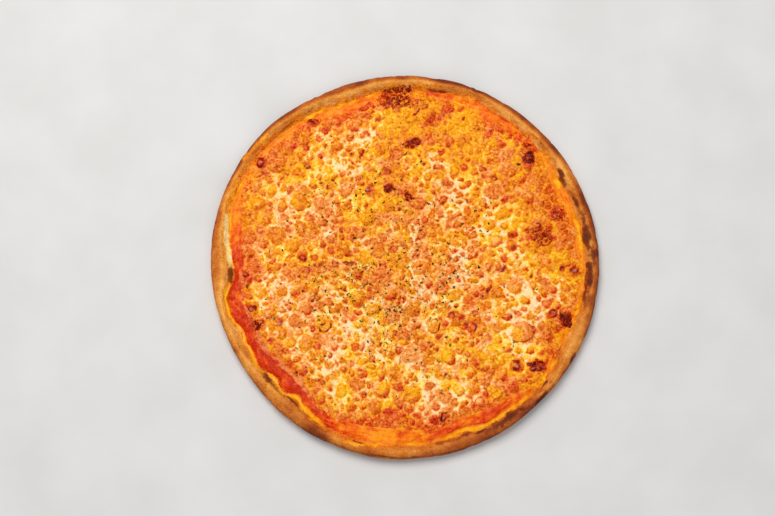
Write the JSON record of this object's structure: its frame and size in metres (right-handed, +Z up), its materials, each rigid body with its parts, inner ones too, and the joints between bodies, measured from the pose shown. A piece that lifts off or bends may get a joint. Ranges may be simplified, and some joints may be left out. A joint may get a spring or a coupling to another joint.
{
  "type": "margherita pizza",
  "caption": "Whole round baked pizza: thin dough with a raised browned rim, tomato sauce and blistered melted cheese under dried herbs.",
  "frame": {"origin": "middle of the flat underside, where the pizza rests", "axes": "+Z up through the topping, +X to the right and +Y away from the eater"},
  "size_m": [0.3026, 0.3034, 0.0135],
  "materials": {
    "crust": "matt baked dough, golden brown and charred in places",
    "sauce": "moist, oily tomato sauce",
    "cheese": "oily melted cheese, cream between orange blisters",
    "oregano": "dry crumbled leaf"
  },
  "bodies": {
    "root": {"dough": "crust", "tomato_sauce": "sauce", "melted_cheese": "cheese"}
  },
  "joints": []
}
